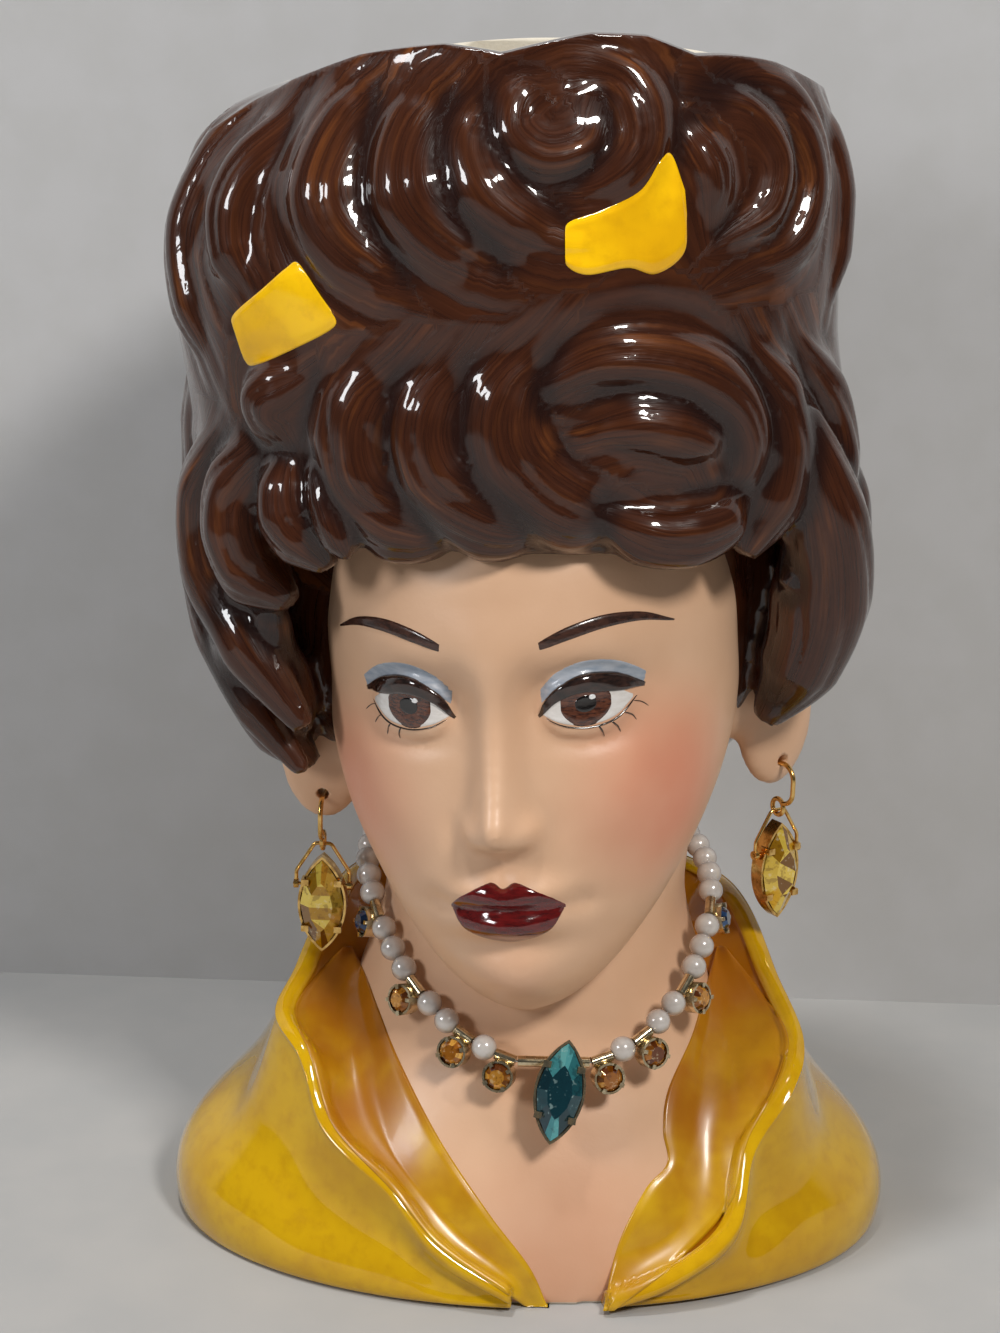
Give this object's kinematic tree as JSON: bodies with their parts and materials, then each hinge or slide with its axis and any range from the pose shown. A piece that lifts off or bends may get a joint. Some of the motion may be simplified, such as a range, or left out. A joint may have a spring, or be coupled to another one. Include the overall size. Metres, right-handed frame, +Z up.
{
  "type": "lady head vase",
  "caption": "Glazed ceramic lady-head vase: piled curls with bows round an open mouth, ruffled collar, beaded necklace with a stone pendant, and drop earrings.",
  "frame": {"origin": "middle of the flat foot", "axes": "+Z up, the bust faces -Y, +X to the viewer's right when the face is seen from the front"},
  "size_m": [0.117, 0.0912, 0.1908],
  "materials": {
    "glazed_casting": "painted and glazed: peach skin, red-brown curls, yellow collar and bows, cream inside",
    "pearl": "pearl lustre",
    "amber_glass": "faceted, foil backed",
    "dark_blue_glass": "faceted, foil backed",
    "teal_glass": "faceted, foil backed",
    "yellow_glass": "faceted, foil backed",
    "pale_gold_metal": "polished, pale gold",
    "gold_metal": "polished, yellow gold",
    "steel_wire": "fine wire"
  },
  "bodies": {
    "vase": {"vase_body": "glazed_casting"},
    "necklace": {"amber_setting_left_1": "pale_gold_metal", "amber_setting_left_2": "pale_gold_metal", "amber_setting_left_3": "pale_gold_metal", "amber_setting_right_1": "pale_gold_metal", "amber_setting_right_2": "pale_gold_metal", "amber_setting_right_3": "pale_gold_metal", "amber_stone_left_1": "amber_glass", "amber_stone_left_2": "amber_glass", "amber_stone_left_3": "amber_glass", "amber_stone_right_1": "amber_glass", "amber_stone_right_2": "amber_glass", "amber_stone_right_3": "amber_glass", "back_pearls_left": "pearl", "back_pearls_right": "pearl", "beading_wire": "steel_wire", "blue_setting_left_1": "pale_gold_metal", "blue_setting_right_1": "pale_gold_metal", "blue_stone_left_1": "dark_blue_glass", "blue_stone_right_1": "dark_blue_glass", "clasp_body": "pale_gold_metal", "clasp_pin": "pale_gold_metal", "clasp_ring": "pale_gold_metal", "crimps": "pale_gold_metal", "pearl_left_1": "pearl", "pearl_left_2": "pearl", "pearl_left_3": "pearl", "pearl_left_4": "pearl", "pearl_left_5": "pearl", "pearl_left_6": "pearl", "pearl_right_1": "pearl", "pearl_right_2": "pearl", "pearl_right_3": "pearl", "pearl_right_4": "pearl", "pearl_right_5": "pearl", "pearl_right_6": "pearl"},
    "clasp_gate": {"clasp_gate": "pale_gold_metal"},
    "pendant": {"centre_setting": "gold_metal", "centre_stone": "teal_glass"},
    "left_hook": {"ear_wire_left": "gold_metal"},
    "left_bail": {"bail_left": "gold_metal"},
    "left_drop": {"drop_setting_left": "gold_metal", "drop_stone_left": "yellow_glass"},
    "right_hook": {"ear_wire_right": "gold_metal"},
    "right_bail": {"bail_right": "gold_metal"},
    "right_drop": {"drop_setting_right": "gold_metal", "drop_stone_right": "yellow_glass"}
  },
  "joints": [
    {"name": "necklace_lift", "type": "hinge", "parent": "vase", "child": "necklace", "pos_m": [-0.0022, 0.0289, 0.06162], "axis": [-1, 0, 0], "range_deg": [0, 4]},
    {"name": "pendant_swing", "type": "hinge", "parent": "necklace", "child": "pendant", "pos_m": [0.003, -0.03031, 0.03755], "axis": [-1, -0.0022, -0.0018], "range_deg": [0, 25]},
    {"name": "clasp_gate_press", "type": "hinge", "parent": "necklace", "child": "clasp_gate", "pos_m": [0.0005, 0.0289, 0.06407], "axis": [0, -1, 0], "range_deg": [0, 12], "stiffness_Nm_per_rad": 0.004, "springref_deg": -17.19},
    {"name": "left_hook_turn", "type": "hinge", "parent": "vase", "child": "left_hook", "pos_m": [-0.034, -0.0025, 0.071], "axis": [-0.0698, -0.9976, 0], "range_deg": [-3, 3]},
    {"name": "left_bail_swing", "type": "hinge", "parent": "left_hook", "child": "left_bail", "pos_m": [-0.03414, -0.00449, 0.0636], "axis": [0.9976, -0.0698, 0], "range_deg": [-15, 6]},
    {"name": "left_drop_swing", "type": "hinge", "parent": "left_bail", "child": "left_drop", "pos_m": [-0.03414, -0.00449, 0.0561], "axis": [0.9976, -0.0698, 0], "range_deg": [-15, 6]},
    {"name": "right_hook_turn", "type": "hinge", "parent": "vase", "child": "right_hook", "pos_m": [0.0373, 0.0005, 0.0771], "axis": [0.5736, -0.8192, 0], "range_deg": [-8, 8]},
    {"name": "right_bail_swing", "type": "hinge", "parent": "right_hook", "child": "right_bail", "pos_m": [0.03845, -0.00114, 0.0697], "axis": [0.8192, 0.5736, 0], "range_deg": [-15, 6]},
    {"name": "right_drop_swing", "type": "hinge", "parent": "right_bail", "child": "right_drop", "pos_m": [0.03845, -0.00114, 0.0622], "axis": [0.8192, 0.5736, 0], "range_deg": [-15, 6]}
  ]
}
